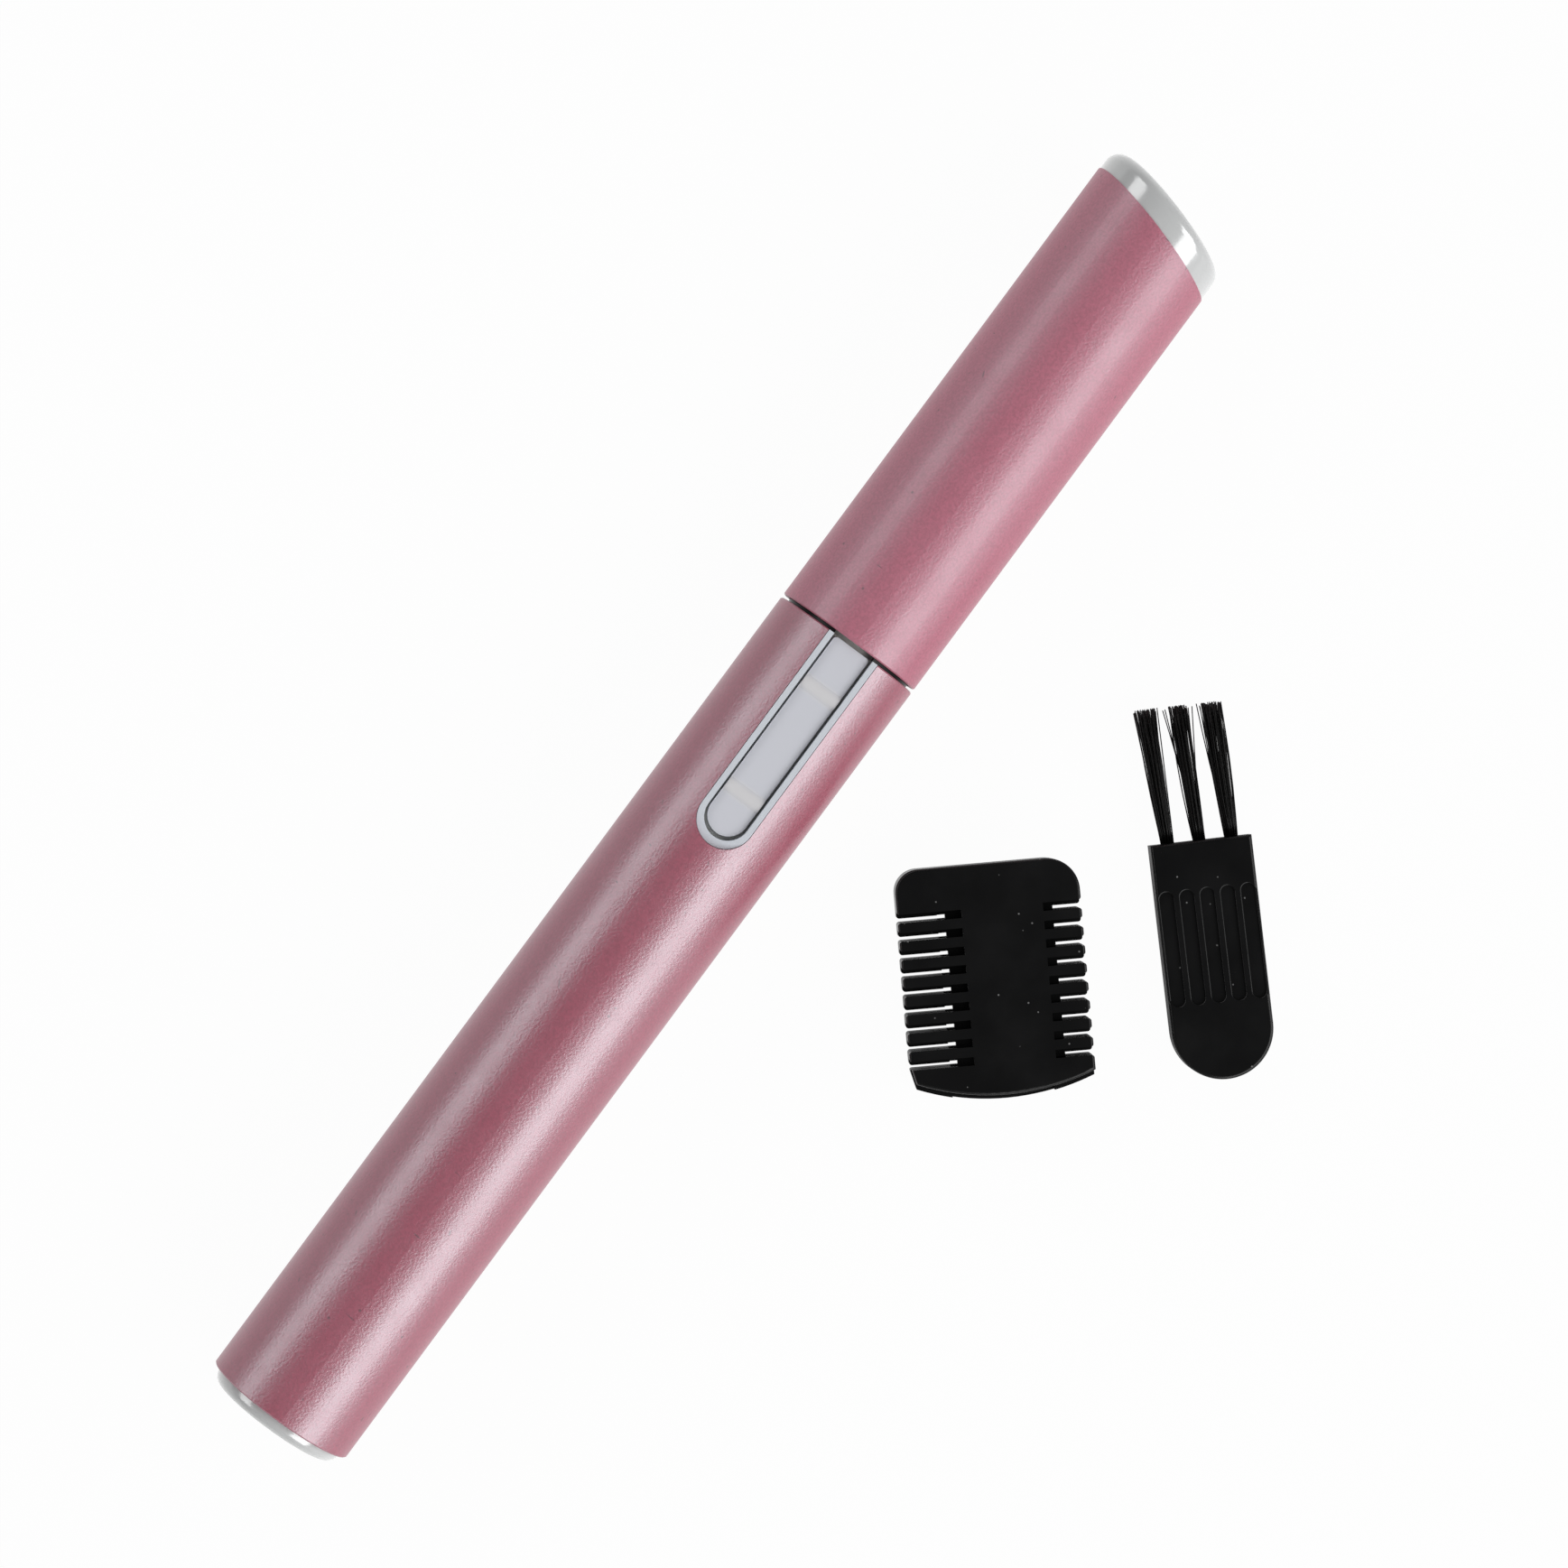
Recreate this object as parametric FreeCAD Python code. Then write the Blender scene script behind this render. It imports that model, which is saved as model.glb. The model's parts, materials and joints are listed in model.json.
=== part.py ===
import FreeCAD, Part
import math
import os

from FreeCAD import Vector

# A pen-shaped battery hair trimmer with its cap on, and the comb and brush that lie beside it.
# Millimetres. The origin is on the pen's axis at the rim of the barrel's tail, +X runs along the
# pen towards the head, +Z is up, and the comb and the brush lie on the -Y side. The pen's pieces are
# drawn with the switch on top, and are then rolled about the axis as the pen lies.

# ---------------------------------------------------------------- pen tube
TUBE_RADIUS = 7.5  # barrel and cap share one outside radius
TUBE_WALL = 0.6
RIM_CHAMFER = 0.12
PEN_ROLL = 5.4  # degrees from the switch on top, towards -Y
BARREL_LENGTH = 88.1
SEAM_GAP = 0.35  # between the barrel and the cap

# ---------------------------------------------------------------- bright end plugs
PLUG_CROWN = 0.4  # rise of the domed faces
PLUG_WALL = 1.3  # around the hollow behind each plug
PLUG_REVEAL = 0.1  # how far a plug's rim stands inside the tube's edge
TAIL_PLUG_STANDOUT = 1.6
TAIL_PLUG_EDGE = 1.0
TAIL_PLUG_SPIGOT = 5.0  # length pressed into the barrel
TAIL_PLUG_SHADOW = 0.4  # depth of the groove beside the barrel's rim
CAP_LENGTH = 46.95  # along the axis, from the mouth to the slanted end
CAP_SLANT = 16.0  # degrees; the +Y side is the longer one
CAP_PLUG_STANDOUT = 3.0
CAP_PLUG_EDGE = 1.3
CAP_PLUG_SPIGOT = 4.0  # length pressed into the cap, on the axis

# ---------------------------------------------------------------- chassis that slides into the barrel
CHASSIS_FIT = 0.05
CHASSIS_TAIL_GAP = 0.4  # to the tail plug's spigot
CHASSIS_TAIL_WALL = 1.0
SPIGOT_LENGTH = 5.4  # of the part in front of the barrel that carries the collar
BULKHEAD = 4.2  # between the cell and the motor
FRONT_WALL = 5.0  # between the motor and the cam

# ---------------------------------------------------------------- cell and its contacts (size AAA)
CELL_RADIUS = 5.25
CELL_LENGTH = 44.5  # with the button
CELL_BUTTON_RADIUS = 1.9
CELL_BUTTON_HEIGHT = 1.0
CELL_FIT = 0.15
CONTACT_SHEET = 0.4
CONTACT_RADIUS = 4.6
SPRING_LENGTH = 4.1
SPRING_RADIUS = 3.2
SPRING_WIRE = 0.3  # radius
SPRING_TURNS = 3.5
STRIP_SHEET = 0.25
STRIP_HALF_WIDTH = 1.0
STRIP_FIT = 0.05

# ---------------------------------------------------------------- motor and cam
MOTOR_ROOF = 0.5  # from the motor to the contact pocket above it
MOTOR_BELL_LENGTH = 1.5
MOTOR_BELL_STEP = 0.2
MOTOR_CAN_EDGE = 0.6
MOTOR_FIT = 0.05
MOTOR_TAIL_SPACE = 1.4  # room for the terminal
TERMINAL_RADIUS = 0.4
SHAFT_RADIUS = 0.5
SHAFT_RUNNING_FIT = 0.05
SHAFT_TIP = 0.4  # beyond the cam
CAM_RADIUS = 2.1
CAM_CORE = 1.2  # radius left under the groove
CAM_LENGTH = 7.0
CAM_GAP = 0.5  # to the chassis wall behind it
CAM_FRONT_ROOM = 1.6  # to the end of the spigot around it
CAM_BAY_RADIUS = 3.2
STROKE = 0.8  # of the cutter, end to end

# ---------------------------------------------------------------- cover over the motor
COVER_TAB = 3.0  # past each end of the motor's bay
COVER_CEILING = 3.4  # depth of the tabs' seats below the axis
COVER_FIT = 0.05
COVER_SCREW_HEAD = 1.1  # radius
COVER_SCREW_HEAD_HEIGHT = 0.7
COVER_SCREW_RADIUS = 0.6
COVER_SCREW_TIP = 1.25  # depth of its end below the axis
COVER_SCREW_SINK = 0.3  # below the chassis surface

# ---------------------------------------------------------------- switch
BEZEL_LENGTH = 22.3  # from its round tail end to the barrel's rim
BEZEL_HALF_WIDTH = 2.75
BEZEL_FIT = 0.05
BEZEL_THICKNESS = 1.378
PLATE_LENGTH = 21.0
PLATE_HALF_WIDTH = 1.95
PLATE_HEAD_GAP = 0.1  # to the barrel's rim
PLATE_SIDE_GAP = 0.25
PLATE_TAIL_GAP = 0.4
PLATE_UNDER_GAP = 0.12
PLATE_CAP_CLEARANCE = 0.08  # where the plate slides in under the cap
PLATE_HEAD_CORNER = 0.4
RIB_WIDTH = 1.4
RIB_HEIGHT = 0.2
RIB_TAIL_INSET = 4.3  # from the plate's tail end to the first rib
RIB_HEAD_INSET = 5.0  # from the plate's head end to the second rib
SWITCH_TRAVEL = 2.0
CARRIER_LENGTH = 11.0
CARRIER_TAIL_INSET = 3.2
CARRIER_HALF_WIDTH = 1.4
CARRIER_FIT = 0.2
POCKET_DEPTH = 1.1  # of the contact pocket under the bezel's seat
SLIDER_LENGTH = 5.6
SLIDER_TAIL_INSET = 0.8
SLIDER_SHEET = 0.15
SLIDER_HALF_WIDTH = 1.0
SLIDER_LIFT = 0.05
PAD_OVERLAP = 3.0  # length of the slider on the rear pad when off
PAD_GAP = 0.2  # from the slider to the front pad when off
PAD_LENGTH = 7.2
PAD_LEG_INSET = 0.7
PAD_LEG_LENGTH = 1.0
PAD_LEG_HALF_WIDTH = 0.8

# ---------------------------------------------------------------- neck, frame and blades under the cap
COLLAR_FIT = 0.15  # to the cap's bore
COLLAR_WALL = 1.15  # around the spigot
COLLAR_LENGTH = 9.1
COLLAR_FRONT = 1.5  # thickness of its front wall
COLLAR_BEAD_WIDTH = 0.5
COLLAR_BEAD_FIT = 0.03
COLLAR_BEAD_INSET = 2.0
NECK_HALF_WIDTH = 4.4
NECK_HALF_HEIGHT = 3.5
NECK_FIT = 0.1
NECK_LENGTH = 7.3  # in front of the collar's inner face
NECK_TOP_LENGTH = 1.6
NECK_TOP_SLOPE = 2.2
NECK_BOTTOM_SLOPE = 4.1
CHANNEL_HALF_WIDTH = 1.6
BLADE_LEVEL = 0.35  # underside of the fixed blade above the axis
BLADE_SHEET = 0.4
BLADE_GAP = 0.05
BLADE_HALF_WIDTH = 4.6
BLADE_LENGTH = 19.8
BLADE_ROOT_INSET = 5.0  # of the blade's root behind the neck's end
BLADE_TIP_CORNER = 1.5
BLADE_TOOTH_PITCH = 1.2
BLADE_TOOTH_COUNT = 10
BLADE_SLOT_WIDTH = 0.55
BLADE_SLOT_DEPTH = 1.4
BLADE_TOOTH_START = 1.6  # from the neck's end to the first slot
CUTTER_SIDE_INSET = 0.3
CUTTER_TIP_INSET = 1.8
CUTTER_ROOT_INSET = 0.6
TONGUE_HALF_WIDTH = 1.2
TONGUE_LENGTH = 6.2
BACKING_HALF_WIDTH = 3.0
BACKING_THICKNESS = 1.15
BACKING_TIP = 1.1  # length of the block that carries the blade's tip
BLADE_SCREW_HEAD = 0.9  # radius
BLADE_SCREW_HEAD_HEIGHT = 0.4
BLADE_SCREW_RADIUS = 0.5
BLADE_SCREW_LENGTH = 1.5
BLADE_SCREW_SPREAD = 2.9  # from the axis to each side
BLADE_SCREW_INSET = 2.2  # from the blade's root
YOKE_SHEET = 0.6
YOKE_CAM_GAP = 0.2
YOKE_TAIL = 1.2  # behind the follower pin
YOKE_HALF_WIDTH = 1.2
YOKE_RISER = 1.0
YOKE_FLOOR_GAP = 0.15
FOLLOWER_RADIUS = 0.45
FOLLOWER_TIP_GAP = 0.15
FOLLOWER_PLAY = 0.45  # beside the pin, on top of the half stroke

# ---------------------------------------------------------------- cap's lining
LINER_WALL = 0.7
LINER_STOP_GAP = 0.05  # to the collar's front face

# ---------------------------------------------------------------- comb
# Its own frame has x across and y towards the closed end.
FLOOR_LEVEL = -TUBE_RADIUS  # the table that the pen, the comb and the brush lie on
COMB_CENTRE_X = 71.8
COMB_CENTRE_Y = -29.3
COMB_TURN = -48.5  # degrees from +X to the comb's x
COMB_WIDTH = 17.2
COMB_SIDE_LENGTH = 20.6
COMB_BULGE = 1.6  # of the open end
COMB_THICKNESS = 6.0
COMB_LIP = 0.6  # how far the bottom wall stands out past the top wall at the open end
COMB_CORNER_LEFT = 2.2
COMB_CORNER_RIGHT = 3.1
COMB_EDGE = 0.3
COMB_BEVEL_WIDTH = 0.5  # of the left corner at the open end
COMB_BEVEL_LENGTH = 2.0
COMB_POCKET_WIDTH = 9.6
COMB_POCKET_HEIGHT = 3.6
COMB_POCKET_END_WALL = 1.6
COMB_SLOT_COUNT = 9
COMB_SLOT_PITCH = 1.72
COMB_SLOT_WIDTH_TOP = 0.78
COMB_SLOT_WIDTH_BOTTOM = 0.34
COMB_SLOT_SHIFT = 0.42  # of the bottom wall's slots towards the open end
COMB_FIRST_SLOT = 4.1  # from the closed end
COMB_LEFT_DEPTH_TOP = 6.0
COMB_LEFT_DEPTH_BOTTOM = 4.6
COMB_RIGHT_DEPTH_TOP = 3.6
COMB_RIGHT_DEPTH_BOTTOM = 2.55
COMB_TOOTH_TIP = 0.28  # rounding of the teeth where they end at the comb's sides

# ---------------------------------------------------------------- brush
# Its own frame has x towards the bristles and y across.
BRUSH_END_X = 93.3  # middle of the handle's bristle end
BRUSH_END_Y = -37.5
BRUSH_TURN = 43.1  # degrees from +X to the bristles
BRUSH_WIDTH = 9.55
BRUSH_LENGTH = 22.5
BRUSH_THICKNESS = 3.8
BRUSH_EDGE = 0.35
BRUSH_GROOVE_COUNT = 5
BRUSH_GROOVE_PITCH = 1.92
BRUSH_GROOVE_WIDTH = 1.25
BRUSH_GROOVE_LENGTH = 10.75
BRUSH_GROOVE_DEPTH = 0.35
BRUSH_GROOVE_EDGE = 0.15
BRUSH_GROOVE_INSET = 4.5  # from the bristle end
TUFT_COUNT = 3
TUFT_PITCH = 3.0
TUFT_ROOT = 2.5  # length inside the handle
TUFT_BASE_RADIUS = 0.6
TUFT_TIP_RADIUS = 1.1
TUFT_LENGTH = 12.6
TUFT_LEAN = 1.7  # degrees

# ---------------------------------------------------------------- worked out from the sizes above
REACH = 4.0 * TUBE_RADIUS  # more than any cut across the pen needs
NEAR = 1e-4

TUBE_BORE = TUBE_RADIUS - TUBE_WALL
CAP_START = BARREL_LENGTH + SEAM_GAP
CAP_END = CAP_START + CAP_LENGTH  # where the slanted end crosses the axis
CAP_FAR_END = CAP_END + CAP_PLUG_STANDOUT + TUBE_RADIUS  # past the whole slanted end
CAP_NORMAL = Vector(math.cos(math.radians(CAP_SLANT)), -math.sin(math.radians(CAP_SLANT)), 0)

CHASSIS_RADIUS = TUBE_BORE - CHASSIS_FIT
CHASSIS_TAIL = TAIL_PLUG_SPIGOT + CHASSIS_TAIL_GAP
CELL_BAY_START = CHASSIS_TAIL + CHASSIS_TAIL_WALL
CELL_START = CELL_BAY_START + CONTACT_SHEET + SPRING_LENGTH
CELL_BUTTON_START = CELL_START + CELL_LENGTH - CELL_BUTTON_HEIGHT
CELL_END = CELL_START + CELL_LENGTH
CELL_BAY_END = CELL_END + CONTACT_SHEET
CELL_BAY_RADIUS = CELL_RADIUS + CELL_FIT

COLLAR_RADIUS = TUBE_BORE - COLLAR_FIT
SPIGOT_RADIUS = COLLAR_RADIUS - COLLAR_WALL
SPIGOT_END = BARREL_LENGTH + SPIGOT_LENGTH
CAM_END = SPIGOT_END - CAM_FRONT_ROOM
CAM_START = CAM_END - CAM_LENGTH
CAM_MIDDLE = CAM_START + CAM_LENGTH / 2
CAM_BAY_START = CAM_START - CAM_GAP

BEZEL_TAIL = BARREL_LENGTH - BEZEL_LENGTH
BEZEL_TOP = math.sqrt(TUBE_RADIUS**2 - BEZEL_HALF_WIDTH**2)  # level with the tube at the bezel's sides
BEZEL_FLOOR = BEZEL_TOP - BEZEL_THICKNESS
POCKET_FLOOR = BEZEL_FLOOR - POCKET_DEPTH
MOTOR_RADIUS = POCKET_FLOOR - MOTOR_ROOF
MOTOR_BAY_RADIUS = MOTOR_RADIUS + MOTOR_FIT
MOTOR_BAY_START = CELL_BAY_END + BULKHEAD
MOTOR_START = MOTOR_BAY_START + MOTOR_TAIL_SPACE
MOTOR_CAN_START = MOTOR_START + MOTOR_BELL_LENGTH
MOTOR_END = CAM_BAY_START - FRONT_WALL
COVER_START = MOTOR_BAY_START - COVER_TAB
COVER_END = MOTOR_END + COVER_TAB
COVER_SCREW_PLACES = (MOTOR_BAY_START - COVER_TAB / 2, MOTOR_END + COVER_TAB / 2)
COVER_SCREW_TOP = COVER_SCREW_SINK - CHASSIS_RADIUS + COVER_SCREW_HEAD_HEIGHT

PLATE_HEAD = BARREL_LENGTH - PLATE_HEAD_GAP
PLATE_TAIL = PLATE_HEAD - PLATE_LENGTH
PLATE_BOTTOM = BEZEL_FLOOR + PLATE_UNDER_GAP
PLATE_TOP = math.sqrt((TUBE_BORE - PLATE_CAP_CLEARANCE) ** 2 - PLATE_HALF_WIDTH**2)
PAD_TOP = POCKET_FLOOR + STRIP_SHEET
SLIDER_BOTTOM = PAD_TOP + SLIDER_LIFT
CARRIER_BOTTOM = SLIDER_BOTTOM + SLIDER_SHEET
CARRIER_START = PLATE_TAIL + CARRIER_TAIL_INSET
CARRIER_END = CARRIER_START + CARRIER_LENGTH
SLIDER_START = CARRIER_START + SLIDER_TAIL_INSET
SLIDER_END = SLIDER_START + SLIDER_LENGTH
REAR_PAD_END = SLIDER_START + PAD_OVERLAP
FRONT_PAD_START = SLIDER_END + PAD_GAP
FRONT_PAD_END = FRONT_PAD_START + PAD_LENGTH
POCKET_START = CARRIER_START - CARRIER_FIT
POCKET_END = max(CARRIER_END + SWITCH_TRAVEL + CARRIER_FIT, FRONT_PAD_END)
STRIP_TOP = CELL_BAY_RADIUS + STRIP_FIT + STRIP_SHEET
STRIP_DROP = CELL_BAY_END + BULKHEAD / 2

COLLAR_END = BARREL_LENGTH + COLLAR_LENGTH
COLLAR_INSIDE = COLLAR_END - COLLAR_FRONT
NECK_TOP_END = COLLAR_INSIDE + NECK_TOP_LENGTH
NECK_END = COLLAR_INSIDE + COLLAR_FRONT + NECK_LENGTH
BLADE_ROOT = NECK_END - BLADE_ROOT_INSET
BLADE_TIP = BLADE_ROOT + BLADE_LENGTH
BLADE_TOP = BLADE_LEVEL + BLADE_SHEET
CUTTER_TOP = BLADE_LEVEL - BLADE_GAP
CUTTER_BOTTOM = CUTTER_TOP - BLADE_SHEET
CUTTER_ROOT = NECK_END + CUTTER_ROOT_INSET
CUTTER_TIP = BLADE_TIP - CUTTER_TIP_INSET
BACKING_TOP = CUTTER_BOTTOM - BLADE_GAP
BACKING_BOTTOM = BACKING_TOP - BACKING_THICKNESS
TONGUE_START = CUTTER_ROOT - TONGUE_LENGTH
YOKE_TOP = -CAM_RADIUS - YOKE_CAM_GAP
YOKE_BOTTOM = YOKE_TOP - YOKE_SHEET
CHANNEL_FLOOR = YOKE_BOTTOM - YOKE_FLOOR_GAP
YOKE_START = CAM_MIDDLE - YOKE_TAIL
YOKE_END = TONGUE_START + YOKE_RISER
GROOVE_WIDTH = 2 * (FOLLOWER_RADIUS + STROKE / 2 + FOLLOWER_PLAY)
GROOVE_TILT = math.degrees(math.atan2(STROKE, CAM_RADIUS + CAM_CORE))

LINER_RADIUS = TUBE_BORE - LINER_WALL
LINER_START = COLLAR_END + LINER_STOP_GAP
LINER_END = CAP_END - CAP_PLUG_SPIGOT

ACROSS = Vector(0, 1, 0)
ALONG = Vector(1, 0, 0)
UP = Vector(0, 0, 1)


# ---------------------------------------------------------------- shapes used by several pieces
def rod(radius, start, end):
    """A round bar on the pen's axis from x = start to x = end."""
    return Part.makeCylinder(radius, end - start, Vector(start, 0, 0), ALONG)


def post(radius, x, y, low, high):
    """An upright round bar."""
    return Part.makeCylinder(radius, high - low, Vector(x, y, low), UP)


def block(x_range, y_range, z_range):
    """A box from its low and high sides."""
    low = Vector(x_range[0], y_range[0], z_range[0])
    return Part.makeBox(x_range[1] - low.x, y_range[1] - low.y, z_range[1] - low.z, low)


def bar(start, end, half_width, low, high):
    """A box along the pen, centred across it."""
    return block((start, end), (-half_width, half_width), (low, high))


def tongue(start, end, half_width, low, high):
    """A flat bar with a half-round tail end at start and a square end."""
    centre = start + half_width
    round_end = post(half_width, centre, 0, low, high)
    return bar(centre, end, half_width, low, high).fuse(round_end).removeSplitter()


def edges_in(shape, axis, value):
    """The edges that lie wholly in the plane where the coordinate called axis has this value."""
    found = []
    for edge in shape.Edges:
        low = getattr(edge.BoundBox, axis + "Min")
        high = getattr(edge.BoundBox, axis + "Max")
        if abs(low - value) < NEAR and abs(high - value) < NEAR:
            found.append(edge)
    return found


def corner_edges(shape, x, ys):
    """The upright edges that stand at x and at one of the given y values."""
    found = []
    for edge in edges_in(shape, "X", x):
        box = edge.BoundBox
        if box.YLength < NEAR and any(abs(box.YMin - y) < NEAR for y in ys):
            found.append(edge)
    return found


def beyond_slant(distance):
    """Everything past a plane parallel to the cap's slanted end, moved outwards by distance."""
    shape = Part.makeBox(REACH, REACH, REACH, Vector(0, -REACH / 2, -REACH / 2))
    shape.rotate(Vector(), UP, -CAP_SLANT)
    shape.translate(Vector(CAP_END, 0, 0) + CAP_NORMAL * distance)
    return shape


def crown_ball(face_centre, outward, rim_radius):
    """A ball whose cap rises by PLUG_CROWN over a rim of this radius and touches face_centre."""
    radius = (rim_radius**2 + PLUG_CROWN**2) / (2 * PLUG_CROWN)
    return Part.makeSphere(radius, face_centre - outward * radius)


# ---------------------------------------------------------------- barrel
def barrel_shell():
    """The tube of the barrel with the notch that the switch's bezel slides into."""
    tube = rod(TUBE_RADIUS, 0, BARREL_LENGTH)
    tube = tube.makeChamfer(RIM_CHAMFER, edges_in(tube, "X", 0) + edges_in(tube, "X", BARREL_LENGTH))
    tube = tube.cut(rod(TUBE_BORE, 0, BARREL_LENGTH))
    notch = tongue(
        BEZEL_TAIL - BEZEL_FIT, BARREL_LENGTH, BEZEL_HALF_WIDTH + BEZEL_FIT, 0, TUBE_RADIUS
    )
    return tube.cut(notch)


def tail_plug():
    """The domed bright plug pressed into the barrel's tail."""
    radius = TUBE_BORE - PLUG_REVEAL
    head = rod(radius, -TAIL_PLUG_STANDOUT, TAIL_PLUG_SHADOW)
    head = head.common(crown_ball(Vector(-TAIL_PLUG_STANDOUT, 0, 0), -ALONG, radius))
    rim = edges_in(head, "X", PLUG_CROWN - TAIL_PLUG_STANDOUT)
    head = head.makeFillet(TAIL_PLUG_EDGE, rim)
    spigot = rod(TUBE_BORE, TAIL_PLUG_SHADOW, TAIL_PLUG_SPIGOT)
    hollow = rod(TUBE_BORE - PLUG_WALL, TAIL_PLUG_SHADOW, TAIL_PLUG_SPIGOT)
    return head.fuse(spigot.cut(hollow)).removeSplitter()


# ---------------------------------------------------------------- chassis and what it carries
def cover_opening(clearance):
    """The space that the motor's cover takes, from below."""
    side = MOTOR_BAY_RADIUS
    seats = bar(COVER_START, COVER_END, side, -TUBE_RADIUS, -COVER_CEILING - clearance)
    middle = bar(MOTOR_BAY_START, MOTOR_END, side, -TUBE_RADIUS, -clearance)
    return seats.fuse(middle).removeSplitter()


def strip_channel():
    """The way of the brass strip: over the cell, down through the bulkhead and on to the switch."""
    half_width = STRIP_HALF_WIDTH + STRIP_FIT
    ceiling = STRIP_TOP + STRIP_FIT
    return [
        bar(CELL_BAY_START, CELL_BAY_END, half_width, 0, ceiling),
        bar(CELL_BAY_END, STRIP_DROP, half_width, POCKET_FLOOR, ceiling),
        bar(STRIP_DROP, POCKET_START, half_width, POCKET_FLOOR, PAD_TOP),
    ]


def pad_leg_window():
    """The window through which the front pad's leg reaches the motor's can."""
    start = FRONT_PAD_START + PAD_LEG_INSET
    return bar(start, start + PAD_LEG_LENGTH, PAD_LEG_HALF_WIDTH, 0, POCKET_FLOOR)


def chassis_frame():
    """The carriage inside the barrel: cell bay, motor bay, cam bay, switch seat and neck spigot."""
    frame = rod(CHASSIS_RADIUS, CHASSIS_TAIL, BARREL_LENGTH).fuse(
        rod(SPIGOT_RADIUS, BARREL_LENGTH, SPIGOT_END)
    )
    bays = [
        rod(CELL_BAY_RADIUS, CELL_BAY_START, CELL_BAY_END),
        bar(CELL_BAY_START, CELL_BAY_END, CELL_BAY_RADIUS, -TUBE_RADIUS, 0),
        rod(TERMINAL_RADIUS, CELL_BAY_END, MOTOR_BAY_START),
        rod(MOTOR_BAY_RADIUS, MOTOR_BAY_START, MOTOR_END),
        cover_opening(0),
        rod(SHAFT_RADIUS + SHAFT_RUNNING_FIT, MOTOR_END, CAM_BAY_START),
        rod(CAM_BAY_RADIUS, CAM_BAY_START, SPIGOT_END),
    ]
    seats = [
        tongue(BEZEL_TAIL, BARREL_LENGTH, BEZEL_HALF_WIDTH, BEZEL_FLOOR, TUBE_RADIUS),
        bar(POCKET_START, POCKET_END, CARRIER_HALF_WIDTH + CARRIER_FIT, POCKET_FLOOR, BEZEL_FLOOR),
        pad_leg_window(),
    ]
    return frame.cut(bays + seats + strip_channel() + cover_screws().Solids).removeSplitter()


def motor_cover():
    """The cover that closes the motor's bay from below."""
    cover = rod(CHASSIS_RADIUS, COVER_START + COVER_FIT, COVER_END - COVER_FIT)
    opening = cover_opening(COVER_FIT)
    side_gap = bar(COVER_START, COVER_END, MOTOR_BAY_RADIUS - COVER_FIT, -TUBE_RADIUS, 0)
    cover = cover.common(opening).common(side_gap)
    return cover.cut([rod(MOTOR_BAY_RADIUS, COVER_START, COVER_END)] + cover_screws().Solids)


def cover_screws():
    """The two screws that hold the motor's cover."""
    screws = []
    for x in COVER_SCREW_PLACES:
        head = post(
            COVER_SCREW_HEAD, x, 0, COVER_SCREW_TOP - COVER_SCREW_HEAD_HEIGHT, COVER_SCREW_TOP
        )
        shank = post(COVER_SCREW_RADIUS, x, 0, COVER_SCREW_TOP, -COVER_SCREW_TIP)
        screws.append(head.fuse(shank))
    return Part.makeCompound(screws)


def negative_plate():
    """The plate at the tail end of the cell bay."""
    return rod(CONTACT_RADIUS, CELL_BAY_START, CELL_BAY_START + CONTACT_SHEET)


def negative_spring():
    """The coil spring that presses on the cell's flat end."""
    height = SPRING_LENGTH - 2 * SPRING_WIRE
    helix = Part.makeHelix(height / SPRING_TURNS, height, SPRING_RADIUS)
    start = Vector(SPRING_RADIUS, 0, 0)
    section = Part.Wire(Part.makeCircle(SPRING_WIRE, start, ACROSS))
    spring = Part.Wire(helix).makePipeShell([section], True, True)
    spring.rotate(Vector(), ACROSS, 90)
    spring.translate(Vector(CELL_BAY_START + CONTACT_SHEET + SPRING_WIRE, 0, 0))
    return spring


def cell_body():
    """The can of the AAA cell."""
    return rod(CELL_RADIUS, CELL_START, CELL_BUTTON_START)


def cell_button():
    """The cell's positive button."""
    return rod(CELL_BUTTON_RADIUS, CELL_BUTTON_START, CELL_END)


def positive_contact():
    """The contact at the head end of the cell bay."""
    return rod(CONTACT_RADIUS, CELL_END, CELL_BAY_END)


def power_strip():
    """The brass strip from the negative plate to the rear pad of the switch."""
    foot = bar(
        CELL_BAY_START, CELL_BAY_START + STRIP_SHEET, STRIP_HALF_WIDTH, CONTACT_RADIUS, STRIP_TOP
    )
    run = bar(CELL_BAY_START, STRIP_DROP, STRIP_HALF_WIDTH, STRIP_TOP - STRIP_SHEET, STRIP_TOP)
    drop = bar(STRIP_DROP - STRIP_SHEET, STRIP_DROP, STRIP_HALF_WIDTH, POCKET_FLOOR, STRIP_TOP)
    pad = bar(STRIP_DROP - STRIP_SHEET, REAR_PAD_END, STRIP_HALF_WIDTH, POCKET_FLOOR, PAD_TOP)
    return foot.fuse([run, drop, pad]).removeSplitter()


def front_pad():
    """The front pad of the switch, with the leg that touches the motor's can."""
    pad = bar(FRONT_PAD_START, FRONT_PAD_END, STRIP_HALF_WIDTH, POCKET_FLOOR, PAD_TOP)
    leg = pad_leg_window().cut(rod(MOTOR_RADIUS, MOTOR_CAN_START, MOTOR_END))
    return pad.fuse(leg).removeSplitter()


def motor_bell():
    """The plastic end bell at the motor's tail."""
    return rod(MOTOR_RADIUS - MOTOR_BELL_STEP, MOTOR_START, MOTOR_CAN_START)


def motor_can():
    """The motor's steel can, bored for its shaft."""
    can = rod(MOTOR_RADIUS, MOTOR_CAN_START, MOTOR_END)
    can = can.makeFillet(MOTOR_CAN_EDGE, edges_in(can, "X", MOTOR_END))
    return can.cut(rod(SHAFT_RADIUS + SHAFT_RUNNING_FIT, MOTOR_CAN_START, MOTOR_END))


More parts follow.
